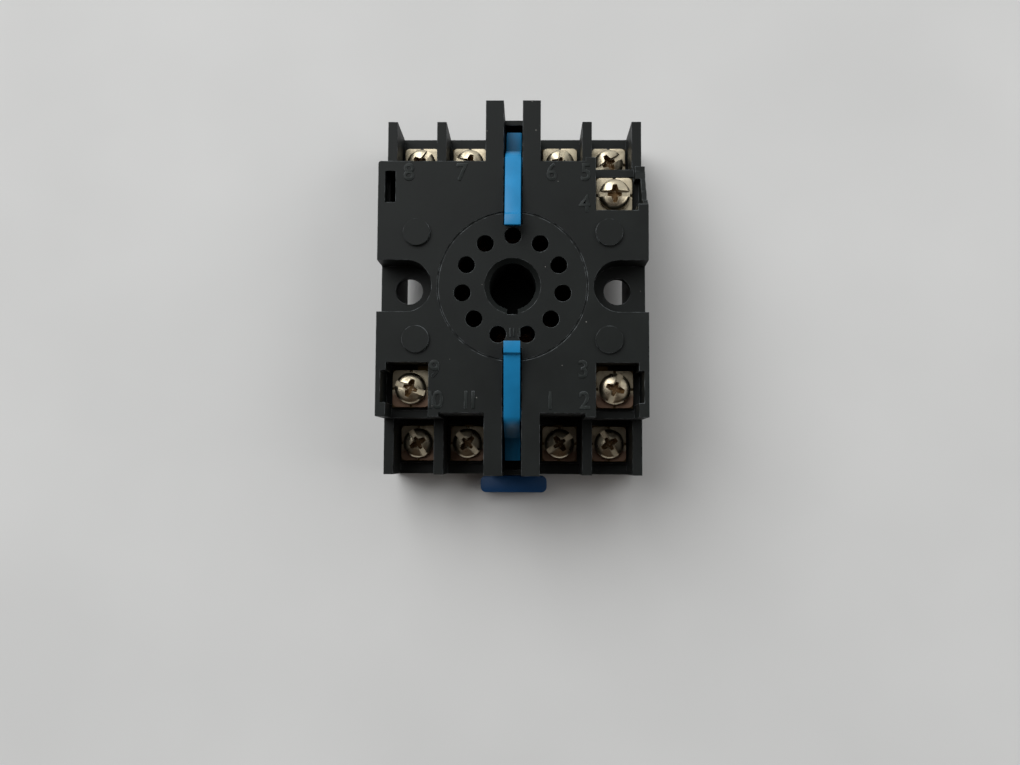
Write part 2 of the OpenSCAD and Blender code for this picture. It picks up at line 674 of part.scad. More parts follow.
// Square washer with rounded corners and a small notch in each side, held under the head.
module clamp_washer(n) {
    bore_r = screw_d / 2 + 0.2;
    color([0.74, 0.72, 0.66])
        translate([side_x(n) * screw_x(n), side_y(n) * screw_y(n), strip_top(n)])
            linear_extrude(washer_t) difference() {
                rounded(washer_w, washer_w, 0.9);
                circle(bore_r);
                for (a = [0:90:270]) rotate(a) translate([washer_w / 2, 0]) square([0.8, 0.5], center = true);
            }
}

// Pan-head screw with a full slot through a cross recess.
module terminal_screw(n) {
    dome_r = 5.6;
    edge_h = head_h - dome_r + sqrt(dome_r * dome_r - head_d * head_d / 4);
    translate([side_x(n) * screw_x(n), side_y(n) * screw_y(n), strip_top(n) + washer_t])
        rotate(slot_angle(n)) color([0.74, 0.72, 0.66]) difference() {
            union() {
                intersection() {
                    cylinder(d = head_d, h = head_h);
                    translate([0, 0, head_h - dome_r]) sphere(dome_r);
                }
                translate([0, 0, -screw_len]) cylinder(d = screw_d, h = screw_len + edge_h / 2);
            }
            block([-head_d, head_d], [-cut_w / 2, cut_w / 2], [head_h - cut_depth, head_h + EPS]);
            for (a = [0, 90]) rotate(a)
                block([-cross_w / 2, cross_w / 2], [-cut_w / 2 - 0.03, cut_w / 2 + 0.03],
                      [head_h - cross_depth, head_h + EPS]);
        }
}

// Countersunk self-tapping screw that holds the base to a post of the cover.
module assembly_screw(n) {
    sx = n % 2 == 1 ? 1 : -1;
    sy = n <= 2 ? 1 : -1;
    translate([sx * disc_x, sy * disc_y, groove_z]) color([0.7, 0.71, 0.73]) difference() {
        union() {
            cylinder(d1 = assembly_head_d, d2 = assembly_d, h = assembly_head_h);
            cylinder(d = assembly_d, h = assembly_len);
        }
        for (a = [0, 90]) rotate(a) block([-1.3, 1.3], [-0.3, 0.3], [-EPS, 0.9]);
    }
}

cover();
base();
ejector_lever_top();
ejector_lever_bottom();
din_latch();
latch_spring();
for (n = [1:PINS]) {
    terminal_strip(n);
    contact_clip(n);
    terminal_screw(n);
    clamp_washer(n);
}
for (n = [1:4]) assembly_screw(n);
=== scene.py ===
"""Finishes for an eleven-pin relay socket: moulded housing, blue levers, plated terminals."""

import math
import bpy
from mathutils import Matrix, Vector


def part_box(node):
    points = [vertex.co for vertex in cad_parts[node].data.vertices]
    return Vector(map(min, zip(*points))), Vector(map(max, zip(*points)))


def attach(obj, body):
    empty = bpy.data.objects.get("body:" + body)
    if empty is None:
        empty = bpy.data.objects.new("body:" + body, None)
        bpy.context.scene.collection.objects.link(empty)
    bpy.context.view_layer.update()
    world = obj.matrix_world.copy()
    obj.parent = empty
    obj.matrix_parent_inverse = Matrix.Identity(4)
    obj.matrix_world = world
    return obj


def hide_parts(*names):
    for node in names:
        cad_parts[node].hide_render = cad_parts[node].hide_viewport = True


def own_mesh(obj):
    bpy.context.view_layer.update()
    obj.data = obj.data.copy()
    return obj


bl_info = {
    "name": "Relay Socket Finishes",
    "version": (1, 0, 0),
    "blender": (4, 5, 0),
    "location": "3D Viewport > Sidebar > Relay Socket",
    "description": "Dresses an eleven-pin relay socket and sets it on a plain stage",
    "category": "Object",
}

import bmesh
import bpy
from mathutils import Euler, Matrix, Vector

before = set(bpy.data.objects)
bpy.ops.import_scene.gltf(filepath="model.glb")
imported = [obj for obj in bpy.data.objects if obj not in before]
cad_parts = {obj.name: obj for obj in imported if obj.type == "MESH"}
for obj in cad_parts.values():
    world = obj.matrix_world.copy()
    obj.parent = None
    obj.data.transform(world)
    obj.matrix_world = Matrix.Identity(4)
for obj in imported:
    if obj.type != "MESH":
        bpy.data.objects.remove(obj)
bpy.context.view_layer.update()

MM = 0.001
PINS = 11
ASSEMBLY_SCREWS = 4
FULL_TURN = 2 * math.pi

# Vertices closer than this are one, and faces that turn by less than this lie flat.
MERGE_DISTANCE = 0.001 * MM
FLAT_ANGLE = math.radians(0.5)

# Edges sharper than these are rounded off, or shaded sharp where they stay.
ROUNDED_ANGLE = math.radians(30)
SHARP_ANGLE = math.radians(35)

# How far each terminal screw was turned when it was last done up, in degrees, from terminal 1 on.
SCREW_TURNS = (35, -60, 70, 0, 30, 80, -15, 55, -20, -60, -45)

# The terminals whose clamp plates are stained, all at the latch's end.
STAINED_TERMINALS = (1, 2, 3, 9, 10, 11)

# The thread of a terminal screw is 3.5 mm across.
SHANK_RADIUS = 1.75 * MM

# Where the numerals stand on the deck, in millimetres from its centre.
NUMERAL_PLACES = {
    1: (7.1, -21.6), 2: (13.5, -21.6), 3: (13.2, -15.8), 4: (13.5, 15.5),
    5: (13.7, 21.5), 6: (7.3, 21.5), 7: (-9.7, 21.5), 8: (-19.7, 21.5),
    9: (-14.5, -15.8), 10: (-14.5, -21.6), 11: (-7.9, -21.6),
}

# The small pin numbers between the two holes beside the keyway.
PIN_MARKS = {"11": (-0.05, -8.9), "1": (1.35, -8.9)}

# A pin mark's stroke as a share of a terminal numeral's.
MARK_STROKE = 0.6


def linear(code):
    """An sRGB hex colour as linear red, green, blue and alpha."""
    parts = [int(code[i:i + 2], 16) / 255 for i in (1, 3, 5)]
    return tuple(c / 12.92 if c <= 0.04045 else ((c + 0.055) / 1.055) ** 2.4
                 for c in parts) + (1.0,)


DUST = linear("#8c8a84")
ROOM_NEAR_SIDE = linear("#3a2f26")
ROOM_FAR_SIDE = linear("#f2f6f8")


# ---- Sizes and colours ----

class RelaySocketSizes(bpy.types.PropertyGroup):
    """Sizes of the details that the finishes add."""

    numeral_height: bpy.props.FloatProperty(
        name="Numeral Height", description="Height of the moulded terminal numbers",
        default=2.6 * MM, unit="LENGTH")
    numeral_stroke: bpy.props.FloatProperty(
        name="Numeral Stroke", description="Width of a numeral's stroke",
        default=0.4 * MM, unit="LENGTH")
    numeral_relief: bpy.props.FloatProperty(
        name="Numeral Relief", description="How far the numerals stand above the deck",
        default=0.14 * MM, unit="LENGTH")
    mark_height: bpy.props.FloatProperty(
        name="Pin Mark Height", description="Height of the small pin numbers in the ring",
        default=1.3 * MM, unit="LENGTH")
    lever_round: bpy.props.FloatProperty(
        name="Lever Edge Radius",
        description="Radius on the edges of the blue levers and the latch",
        default=0.2 * MM, unit="LENGTH")
    plate_round: bpy.props.FloatProperty(
        name="Clamp Plate Edge Radius",
        description="Radius on the edges of the stamped clamp plates",
        default=0.12 * MM, unit="LENGTH")
    thread_pitch: bpy.props.FloatProperty(
        name="Thread Pitch", description="Pitch of the terminal screws' thread",
        default=0.6 * MM, unit="LENGTH")
    recess_reach: bpy.props.FloatProperty(
        name="Recess Reach",
        description="From the screw's axis to the end of a wing of its cross recess",
        default=1.95 * MM, unit="LENGTH")
    recess_waist: bpy.props.FloatProperty(
        name="Recess Waist", description="From the screw's axis to the corner between two wings",
        default=1.0 * MM, unit="LENGTH")
    wing_tip: bpy.props.FloatProperty(
        name="Wing Tip", description="Width of a wing of the cross recess at its end",
        default=0.85 * MM, unit="LENGTH")
    recess_depth: bpy.props.FloatProperty(
        name="Recess Depth", description="Depth of the cross recess below the top of the head",
        default=1.75 * MM, unit="LENGTH")
    slot_width: bpy.props.FloatProperty(
        name="Slot Width", description="Width of the slot through the cross recess",
        default=1.15 * MM, unit="LENGTH")
    slot_depth: bpy.props.FloatProperty(
        name="Slot Depth", description="Depth of the slot below the top of the head",
        default=0.95 * MM, unit="LENGTH")


class RelaySocketColours(bpy.types.PropertyGroup):
    """Colours of the finishes."""

    housing: bpy.props.FloatVectorProperty(
        name="Housing", description="Black moulded thermoplastic",
        subtype="COLOR", size=4, min=0, max=1, default=linear("#121514"))
    # Pale edge colour: partly rubbed wear, partly a painted highlight for the light that rounded
    # edges catch.
    housing_edge: bpy.props.FloatVectorProperty(
        name="Housing Edge", description="Black plastic where its edges are rubbed",
        subtype="COLOR", size=4, min=0, max=1, default=linear("#6f7476"))
    lever: bpy.props.FloatVectorProperty(
        name="Lever", description="Blue moulded plastic of the ejector levers",
        subtype="COLOR", size=4, min=0, max=1, default=linear("#1a76a7"))
    # The latch's darker blue is partly a deeper blue plastic and partly painted shade for the
    # shadow of the body over it.
    latch: bpy.props.FloatVectorProperty(
        name="Latch", description="Darker blue moulded plastic of the rail latch",
        subtype="COLOR", size=4, min=0, max=1, default=linear("#123f6b"))
    nickel: bpy.props.FloatVectorProperty(
        name="Nickel", description="Nickel plate on the screws and clamp plates",
        subtype="COLOR", size=4, min=0, max=1, default=linear("#c2b79f"))
    # Brown of real tarnish, also laid as painted shade in the metal's corners and recesses.
    tarnish: bpy.props.FloatVectorProperty(
        name="Tarnish", description="Dull brown film in the screws' recesses and corners",
        subtype="COLOR", size=4, min=0, max=1, default=linear("#6a4f2b"))
    rust: bpy.props.FloatVectorProperty(
        name="Rust", description="Red-brown stain on the clamp plates at the latch's end",
        subtype="COLOR", size=4, min=0, max=1, default=linear("#5e3a28"))
    # Brass darkened as painted shade for the deep bays that the strips lie in.
    brass: bpy.props.FloatVectorProperty(
        name="Brass", description="Dull brass of the terminal strips",
        subtype="COLOR", size=4, min=0, max=1, default=linear("#4e4129"))
    bronze: bpy.props.FloatVectorProperty(
        name="Bronze", description="Contact clips",
        subtype="COLOR", size=4, min=0, max=1, default=linear("#8a6242"))
    steel: bpy.props.FloatVectorProperty(
        name="Steel", description="Spring strip and assembly screws",
        subtype="COLOR", size=4, min=0, max=1, default=linear("#b4b6ba"))
    floor: bpy.props.FloatVectorProperty(
        name="Floor", description="Pale stage floor",
        subtype="COLOR", size=4, min=0, max=1, default=linear("#cbcbca"))


# ---- Materials ----

def add_node(tree, kind, settings, links=()):
    """Adds a shader node, sets its properties and input values, and links its inputs."""
    node = tree.nodes.new("ShaderNode" + kind)
    for name, value in settings.items():
        if isinstance(name, int) or name in node.inputs:
            node.inputs[name].default_value = value
        else:
            setattr(node, name, value)
    for name, socket in dict(links).items():
        tree.links.new(socket, node.inputs[name])
    return node


def new_material(name):
    """An empty node material, with its tree, its surface shader and its Object coordinates."""
    material = bpy.data.materials.new(name)
    material.use_nodes = True
    tree = material.node_tree
    tree.nodes.clear()
    place = add_node(tree, "TexCoord", {}).outputs["Object"]
    shader = add_node(tree, "BsdfPrincipled", {})
    add_node(tree, "OutputMaterial", {}, {"Surface": shader.outputs["BSDF"]})
    return material, tree, shader, place


def worn_edges(tree, place, radius, grain):
    """A mask of the outer edges for rubbed wear and painted highlights, broken up by a noise, and
    the rounded normal it is made from.
    """
    rounded = add_node(tree, "Bevel", {"samples": 6, "Radius": radius})
    face = add_node(tree, "NewGeometry", {})
    facing = add_node(tree, "VectorMath", {"operation": "DOT_PRODUCT"},
                      {0: rounded.outputs["Normal"], 1: face.outputs["Normal"]})
    edge = add_node(tree, "MapRange", {"From Min": 0.995, "From Max": 0.86},
                    {"Value": facing.outputs["Value"]})
    noise = add_node(tree, "TexNoise", {"Scale": 1 / grain, "Detail": 3.0}, {"Vector": place})
    patch = add_node(tree, "MapRange", {"From Min": 0.42, "From Max": 0.62},
                     {"Value": noise.outputs["Fac"]})
    mask = add_node(tree, "Math", {"operation": "MULTIPLY"},
                    {0: edge.outputs["Result"], 1: patch.outputs["Result"]})
    return mask.outputs["Value"], rounded.outputs["Normal"]


def moulded_black(name, colours, paler=1.0):
    """Glass-filled black nylon from a fine-grained tool: dull, slightly cloudy, pale at its edges
    where rubbed and as a painted highlight.

    What stands proud can be made paler all over by the factor given, as a painted highlight.
    """
    material, tree, shader, place = new_material(name)
    cloud = add_node(tree, "TexNoise", {"Scale": 1 / (9 * MM), "Detail": 4.0, "Roughness": 0.6},
                     {"Vector": place})
    tone = add_node(tree, "MapRange", {"From Min": 0.3, "From Max": 0.7,
                                       "To Min": 0.78 * paler, "To Max": 1.3 * paler},
                    {"Value": cloud.outputs["Fac"]})
    body = add_node(tree, "VectorMath", {"operation": "SCALE", 0: colours.housing[:3]},
                    {"Scale": tone.outputs["Result"]})
    mask, rounded = worn_edges(tree, place, 0.16 * MM, 1.6 * MM)
    # Painted highlight: the pale edge colour on the outer edges stands partly for rubbing and
    # partly for light caught by the rounded edges.
    rubbed_and_highlit = add_node(tree, "Mix", {"data_type": "RGBA", "B": colours.housing_edge[:]},
                      {"Factor": mask, "A": body.outputs["Vector"]})
    # Specks of pale dust about 0.15 mm wide, one in a few square millimetres.
    specks = add_node(tree, "TexVoronoi", {"Scale": 1 / (3.2 * MM)}, {"Vector": place})
    speck = add_node(tree, "MapRange", {"From Min": 0.035, "From Max": 0.018},
                     {"Value": specks.outputs["Distance"]})
    dusty = add_node(tree, "Mix", {"data_type": "RGBA", "B": DUST},
                     {"Factor": speck.outputs["Result"], "A": rubbed_and_highlit.outputs["Result"]})
    # The tool's grain is about 0.15 mm.
    grain = add_node(tree, "TexNoise", {"Scale": 1 / (0.3 * MM), "Detail": 2.0}, {"Vector": place})
    dull = add_node(tree, "MapRange", {"To Min": 0.42, "To Max": 0.6},
                    {"Value": cloud.outputs["Fac"]})
    bump = add_node(tree, "Bump", {"Strength": 0.35, "Distance": 0.02 * MM},
                    {"Height": grain.outputs["Fac"], "Normal": rounded})
    tree.links.new(dusty.outputs["Result"], shader.inputs["Base Color"])
    tree.links.new(dull.outputs["Result"], shader.inputs["Roughness"])
    tree.links.new(bump.outputs["Normal"], shader.inputs["Normal"])
    shader.inputs["IOR"].default_value = 1.5
    shader.inputs["Specular IOR Level"].default_value = 0.17
    return material


def moulded_blue(name, colour):
    """Blue acetal, moulded smooth: a soft sheen and slightly uneven gloss."""
    material, tree, shader, place = new_material(name)
    cloud = add_node(tree, "TexNoise", {"Scale": 1 / (4 * MM), "Detail": 3.0}, {"Vector": place})
    tone = add_node(tree, "MapRange", {"From Min": 0.3, "From Max": 0.7,
                                       "To Min": 0.9, "To Max": 1.1},
                    {"Value": cloud.outputs["Fac"]})
    body = add_node(tree, "VectorMath", {"operation": "SCALE", 0: colour[:3]},
                    {"Scale": tone.outputs["Result"]})
    mask, rounded = worn_edges(tree, place, 0.1 * MM, 1.2 * MM)
    # Painted highlight: paler blue on the outer edges, partly for rubbing and partly for light
    # caught by the rounded edges.
    pale = [0.75 * c + 0.1 for c in colour[:3]] + [1.0]
    rubbed_and_highlit = add_node(tree, "Mix", {"data_type": "RGBA", "B": pale},
                      {"Factor": mask, "A": body.outputs["Vector"]})
    dull = add_node(tree, "MapRange", {"To Min": 0.3, "To Max": 0.46},
                    {"Value": cloud.outputs["Fac"]})
    grain = add_node(tree, "TexNoise", {"Scale": 1 / (0.4 * MM), "Detail": 2.0}, {"Vector": place})
    bump = add_node(tree, "Bump", {"Strength": 0.2, "Distance": 0.015 * MM},
                    {"Height": grain.outputs["Fac"], "Normal": rounded})
    tree.links.new(rubbed_and_highlit.outputs["Result"], shader.inputs["Base Color"])
    tree.links.new(dull.outputs["Result"], shader.inputs["Roughness"])
    tree.links.new(bump.outputs["Normal"], shader.inputs["Normal"])
    shader.inputs["IOR"].default_value = 1.48
    shader.inputs["Specular IOR Level"].default_value = 0.28
    return material


def plated_metal(name, plate, film, roughness, film_and_shade_reach, stain=None, stain_y=0):
    """Plated or bare metal with fine wear, and a dull brown film that is partly tarnish and partly
    painted shade in its corners and recesses.

    Faces marked in the layer "recess_film_and_shade" are under the film wholly, which there is
    partly painted shade. With a stain, the metal also turns red-brown from stain_y towards the
    latch's end.
    """
    material, tree, shader, place = new_material(name)
    # Painted shade: the film's brown is laid where ambient occlusion finds the metal sheltered,
    # darkening its corners and recesses, over real tarnish blotches.
    shelter = add_node(tree, "AmbientOcclusion",
                       {"samples": 8, "only_local": True, "Distance": film_and_shade_reach})
    blotch = add_node(tree, "TexNoise", {"Scale": 1 / (1.1 * MM), "Detail": 4.0},
                      {"Vector": place})
    hidden = add_node(tree, "MapRange", {"From Min": 0.6, "From Max": 0.35},
                      {"Value": shelter.outputs["AO"]})
    spots = add_node(tree, "MapRange", {"From Min": 0.52, "From Max": 0.75, "To Max": 0.3},
                     {"Value": blotch.outputs["Fac"]})
    # Flecks of bare plate show through the film in the recess.
    # Painted shade, partly tarnish: faces marked in the recess take the film's brown wholly.
    marked = add_node(tree, "Attribute", {"attribute_name": "recess_film_and_shade"})
    flecks = add_node(tree, "TexNoise", {"Scale": 1 / (0.35 * MM), "Detail": 2.0},
                      {"Vector": place})
    worn = add_node(tree, "MapRange", {"From Min": 0.68, "From Max": 0.58, "To Min": 0.45},
                    {"Value": flecks.outputs["Fac"]})
    recessed = add_node(tree, "Math", {"operation": "MULTIPLY"},
                        {0: marked.outputs["Fac"], 1: worn.outputs["Result"]})
    film_and_shade_mask = add_node(tree, "Math", {"operation": "MAXIMUM"},
                         {0: hidden.outputs["Result"],
                          1: spots.outputs["Result"]}).outputs["Value"]
    film_and_shade_mask = add_node(tree, "Math", {"operation": "MAXIMUM"},
                         {0: film_and_shade_mask, 1: recessed.outputs["Value"]}).outputs["Value"]
    colour = add_node(tree, "Mix", {"data_type": "RGBA", "A": plate, "B": film},
                      {"Factor": film_and_shade_mask}).outputs["Result"]
    if stain:
        axes = add_node(tree, "SeparateXYZ", {}, {"Vector": place})
        # The blotches shift the stain's edge by up to 2.4 mm, so it runs ragged.
        ragged = add_node(tree, "Math", {"operation": "MULTIPLY_ADD", 1: 2.4 * MM},
                          {0: blotch.outputs["Fac"], 2: axes.outputs["Y"]})
        spread = add_node(tree, "MapRange", {"interpolation_type": "SMOOTHSTEP",
                                             "From Min": stain_y + 1.2 * MM,
                                             "From Max": stain_y - 0.8 * MM, "To Max": 0.85},
                          {"Value": ragged.outputs["Value"]}).outputs["Result"]
        colour = add_node(tree, "Mix", {"data_type": "RGBA", "B": stain},
                          {"Factor": spread, "A": colour}).outputs["Result"]
        film_and_shade_mask = add_node(tree, "Math", {"operation": "MAXIMUM"},
                             {0: film_and_shade_mask, 1: spread}).outputs["Value"]
    # The film scatters light like a paint, where the bare plate mirrors it.
    bare = add_node(tree, "MapRange", {"To Min": 1.0, "To Max": 0.35}, {"Value": film_and_shade_mask})
    dull = add_node(tree, "MapRange", {"To Min": roughness, "To Max": 0.62}, {"Value": film_and_shade_mask})
    uneven = add_node(tree, "Math", {"operation": "MULTIPLY_ADD", 1: 0.14, 2: -0.05},
                      {0: blotch.outputs["Fac"]})
    rough = add_node(tree, "Math", {"operation": "ADD"},
                     {0: dull.outputs["Result"], 1: uneven.outputs["Value"]})
    # Rolling and tumbling leave marks about 0.1 mm across.
    marks = add_node(tree, "TexNoise", {"Scale": 1 / (0.25 * MM), "Detail": 3.0},
                     {"Vector": place})
    bump = add_node(tree, "Bump", {"Strength": 0.3, "Distance": 0.01 * MM},
                    {"Height": marks.outputs["Fac"]})
    tree.links.new(colour, shader.inputs["Base Color"])
    tree.links.new(bare.outputs["Result"], shader.inputs["Metallic"])
    tree.links.new(rough.outputs["Value"], shader.inputs["Roughness"])
    tree.links.new(bump.outputs["Normal"], shader.inputs["Normal"])
    return material


def dress(node, material):
    """Gives a solid of the frame its finish."""
    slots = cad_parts[node].data.materials
    slots.clear()
    slots.append(material)


# ---- Shapes ----

def finish_piece(bm, name, body, material):
    """Makes an object from a bmesh in the part's own frame, and lets it ride on its body."""
    mesh = bpy.data.meshes.new(name)
    bm.to_mesh(mesh)
    bm.free()
    mesh.shade_smooth()
    mesh.set_sharp_from_angle(angle=SHARP_ANGLE)
    mesh.materials.append(material)
    piece = bpy.data.objects.new(name, mesh)
    bpy.context.scene.collection.objects.link(piece)
    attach(piece, body)
    return piece


def softened(node, radius):
    """A merged copy of a solid of the frame, with its sharp edges rounded."""
    bm = bmesh.new()
    bm.from_mesh(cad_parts[node].data)
    bmesh.ops.remove_doubles(bm, verts=bm.verts, dist=MERGE_DISTANCE)
    bmesh.ops.dissolve_limit(bm, angle_limit=FLAT_ANGLE, verts=bm.verts, edges=bm.edges)
    edges = [e for e in bm.edges if e.is_manifold and e.calc_face_angle() > ROUNDED_ANGLE]
    bmesh.ops.bevel(bm, geom=edges, offset=radius, affect="EDGES", segments=3, profile=0.5,
                    material=-1, clamp_overlap=True)
    return bm


def cut(bm, tool):
    """Cuts one closed bmesh out of another and returns what is left."""
    meshes = []
    for part in (bm, tool):
        mesh = bpy.data.meshes.new("cut")
        part.to_mesh(mesh)
        part.free()
        meshes.append(mesh)
    body, cutter = [bpy.data.objects.new("cut", m) for m in meshes]
    for part in (body, cutter):
        bpy.context.scene.collection.objects.link(part)
    boolean = body.modifiers.new("cut", "BOOLEAN")
    boolean.object = cutter
    boolean.operation = "DIFFERENCE"
    boolean.solver = "EXACT"
    left = bmesh.new()
    left.from_object(body, bpy.context.evaluated_depsgraph_get())
    for part in (body, cutter):
        bpy.data.objects.remove(part)
    for mesh in meshes:
        bpy.data.meshes.remove(mesh)
    return left


def block(half, z_top, z_bottom):
    """A block of the half sizes given in x and y, between two heights, as a closed bmesh."""
    bm = bmesh.new()
    bmesh.ops.create_cube(bm, size=2)
    for v in bm.verts:
        v.co = Vector((v.co.x * half[0], v.co.y * half[1], z_top if v.co.z > 0 else z_bottom))
    return bm


def screw_blank(head_r, head_h, shank_r, shank_len, pitch):
    """A pan-head blank with its thread's core, on its own axis, with its head's seat at zero."""
    crown_r = 2.4 * head_r
    rim_r = 0.42 * head_h
    core_r = shank_r - 0.55 * pitch
    under_chamfer = 0.1 * MM
    crown_steps, rim_steps, round_steps = 6, 5, 64
    crown_angle = math.asin((head_r - rim_r) / crown_r)
    crown = [(crown_r * math.sin(a), head_h - crown_r * (1 - math.cos(a)))
             for a in (crown_angle * i / crown_steps for i in range(crown_steps + 1))]
    rim_z = crown[-1][1] - rim_r
    rim = [(head_r - rim_r + rim_r * math.cos(a), rim_z + rim_r * math.sin(a))
           for a in (math.pi / 2 * (1 - i / rim_steps) for i in range(1, rim_steps + 1))]
    shank = [(head_r, under_chamfer), (head_r - under_chamfer, 0), (core_r, 0),
             (core_r, -shank_len + 0.4 * MM), (core_r - 0.35 * MM, -shank_len), (0, -shank_len)]
    bm = bmesh.new()
    verts = [bm.verts.new((r, 0, z)) for r, z in crown + rim + shank]
    edges = [bm.edges.new(pair) for pair in zip(verts, verts[1:])]
    bmesh.ops.spin(bm, geom=verts + edges, cent=(0, 0, 0), axis=(0, 0, 1), angle=FULL_TURN,
                   steps=round_steps, use_merge=True)
    bmesh.ops.remove_doubles(bm, verts=bm.verts, dist=MERGE_DISTANCE)
    bmesh.ops.recalc_face_normals(bm, faces=bm.faces)
    return bm


def thread_ridge(bm, shank_r, shank_len, pitch):
    """Adds the helical ridge of a thread round the core of a screw blank."""
    # The root is a little inside the core and the crest a little inside the shank's radius.
    root_r = shank_r - 0.6 * pitch
    crest_r = shank_r - 0.01 * MM
    start = -shank_len + 0.5 * MM
    turns = int((shank_len - 1.1 * MM) / pitch)
    steps = 20 * turns
    profile = [bm.verts.new((r, 0, start + z)) for r, z in
               ((root_r, -0.4 * pitch), (crest_r, -0.08 * pitch),
                (crest_r, 0.08 * pitch), (root_r, 0.4 * pitch))]
    first = bm.faces.new(profile)
    bmesh.ops.spin(bm, geom=[first], cent=(0, 0, 0), axis=(0, 0, 1), angle=FULL_TURN * turns,
                   steps=steps, dvec=(0, 0, pitch * turns / steps))


def recess_tool(sizes, head_h):
    """The driver's bit: four wings that narrow outwards, tapered towards the recess's floor."""
    tip = sizes.wing_tip / 2
    corner = sizes.recess_waist * math.sqrt(0.5)
    wing = [(sizes.recess_reach, -tip), (sizes.recess_reach, tip), (corner, corner)]
    quarter_turns = ((1, 0), (0, 1), (-1, 0), (0, -1))
    past = 0.1 * MM
    floor_share = 0.5
    bm = bmesh.new()
    mouth = bm.faces.new([bm.verts.new((x * c - y * d, x * d + y * c, head_h + past))
                          for c, d in quarter_turns for x, y in wing])
    made = bmesh.ops.extrude_face_region(bm, geom=[mouth])["geom"]
    floor = [v for v in made if isinstance(v, bmesh.types.BMVert)]
    bmesh.ops.scale(bm, verts=floor, vec=(floor_share, floor_share, 1))
    bmesh.ops.translate(bm, verts=floor, vec=(0, 0, -sizes.recess_depth - past))
    bmesh.ops.recalc_face_normals(bm, faces=bm.faces)
    return bm


def terminal_screw(sizes, node, plate):
    """A plated pan-head screw with a full slot through its cross recess, on its own axis."""
    low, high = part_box(node)
    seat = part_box(plate)[1].z
    head_r = (high.x - low.x) / 2
    head_h = high.z - seat
    shank_len = seat - low.z
    bm = screw_blank(head_r, head_h, SHANK_RADIUS, shank_len, sizes.thread_pitch)
    bm = cut(bm, recess_tool(sizes, head_h))
    # The slot's cutter reaches past the head on each side and above it.
    past = 1.2
    bm = cut(bm, block((head_r * past, sizes.slot_width / 2), head_h * past,
                       head_h - sizes.slot_depth))
    # The walls of the recess and all of it that lies below the slot are marked for the film,
    # partly tarnish and partly painted shade for their dark depths, while the slot's floor and the
    # crown are worn clean.
    recess_film_and_shade = bm.faces.layers.float.new("recess_film_and_shade")
    film_low = head_h - 0.9 * sizes.recess_depth - 0.2 * MM
    film_high = head_h - 0.25 * MM
    below_slot = head_h - 1.1 * sizes.slot_depth
    wall_limit = 0.6
    for face in bm.faces:
        centre = face.calc_center_median()
        within = centre.xy.length < sizes.recess_reach and film_low < centre.z < film_high
        if within and (abs(face.normal.z) < wall_limit or centre.z < below_slot):
            face[recess_film_and_shade] = 1.0
    # Every edge of the head above its seat is a little worn.
    worn_angle = math.radians(40)
    worn_low = 0.3 * head_h
    edges = [e for e in bm.edges if e.is_manifold and e.calc_face_angle() > worn_angle
             and min(v.co.z for v in e.verts) > worn_low]
    bmesh.ops.bevel(bm, geom=edges, offset=0.05 * MM, affect="EDGES", segments=2, profile=0.5,
                    material=-1, clamp_overlap=True)
    thread_ridge(bm, SHANK_RADIUS, shank_len, sizes.thread_pitch)
    return bm


def numeral(text, height, stroke, place):
    """A moulded number of round-edged strokes whose top stands at the place given, as a bmesh."""
    half_depth = stroke * 0.62  # 0.5 extruded and 0.12 bevelled
    squeeze = 0.93
    curve = bpy.data.curves.new("numeral", "FONT")
    curve.body = text
    curve.align_x = "CENTER"
    curve.align_y = "CENTER"
    curve.size = height * 1.75
    curve.offset = stroke * 0.12
    curve.space_character = 0.65
    curve.extrude = stroke * 0.5
    curve.bevel_depth = stroke * 0.12
    curve.bevel_resolution = 1
    text_object = bpy.data.objects.new("numeral", curve)
    bpy.context.scene.collection.objects.link(text_object)
    evaluated = text_object.evaluated_get(bpy.context.evaluated_depsgraph_get())
    mesh = bpy.data.meshes.new_from_object(evaluated)
    bm = bmesh.new()
    bm.from_mesh(mesh)
    bpy.data.meshes.remove(mesh)
    bpy.data.objects.remove(text_object)
    bpy.data.curves.remove(curve)
    bmesh.ops.remove_doubles(bm, verts=bm.verts, dist=0.5 * MERGE_DISTANCE)
    bmesh.ops.scale(bm, verts=bm.verts, vec=(squeeze, 1, 1))
    bmesh.ops.translate(bm, verts=bm.verts, vec=(place[0], place[1], place[2] - half_depth))
    return bm


def join_into(bm, other):
    """Adds one bmesh to another."""
    mesh = bpy.data.meshes.new("join")
    other.to_mesh(mesh)
    other.free()
    bm.from_mesh(mesh)
    bpy.data.meshes.remove(mesh)


# ---- Operators ----

class RELAYSOCKET_OT_housing(bpy.types.Operator):
    """Finish the black cover and base"""

    bl_idname = "relay_socket.housing"
    bl_label = "Housing"

    def execute(self, context):
        black = moulded_black("moulded_black_nylon", context.scene.relay_socket_colours)
        for node in ("cover", "base"):
            dress(node, black)
        return {"FINISHED"}


class RELAYSOCKET_OT_numerals(bpy.types.Operator):
    """Add the moulded terminal numbers to the deck"""

    bl_idname = "relay_socket.numerals"
    bl_label = "Numerals"

    def execute(self, context):
        sizes = context.scene.relay_socket_sizes
        marks = [(str(number), sizes.numeral_height, sizes.numeral_stroke, place)
                 for number, place in NUMERAL_PLACES.items()]
        marks += [(text, sizes.mark_height, sizes.numeral_stroke * MARK_STROKE, place)
                  for text, place in PIN_MARKS.items()]
        bm = bmesh.new()
        for text, height, stroke, (x, y) in marks:
            join_into(bm, numeral(text, height, stroke, (x * MM, y * MM, sizes.numeral_relief)))
        # Painted highlight: the numerals get a copy of the black nylon made 1.9 times paler, for
        # the light their raised strokes catch.
        finish_piece(bm, "numerals", "socket_body",
                     moulded_black("highlit_paler_black_nylon", context.scene.relay_socket_colours, 1.9))
        return {"FINISHED"}


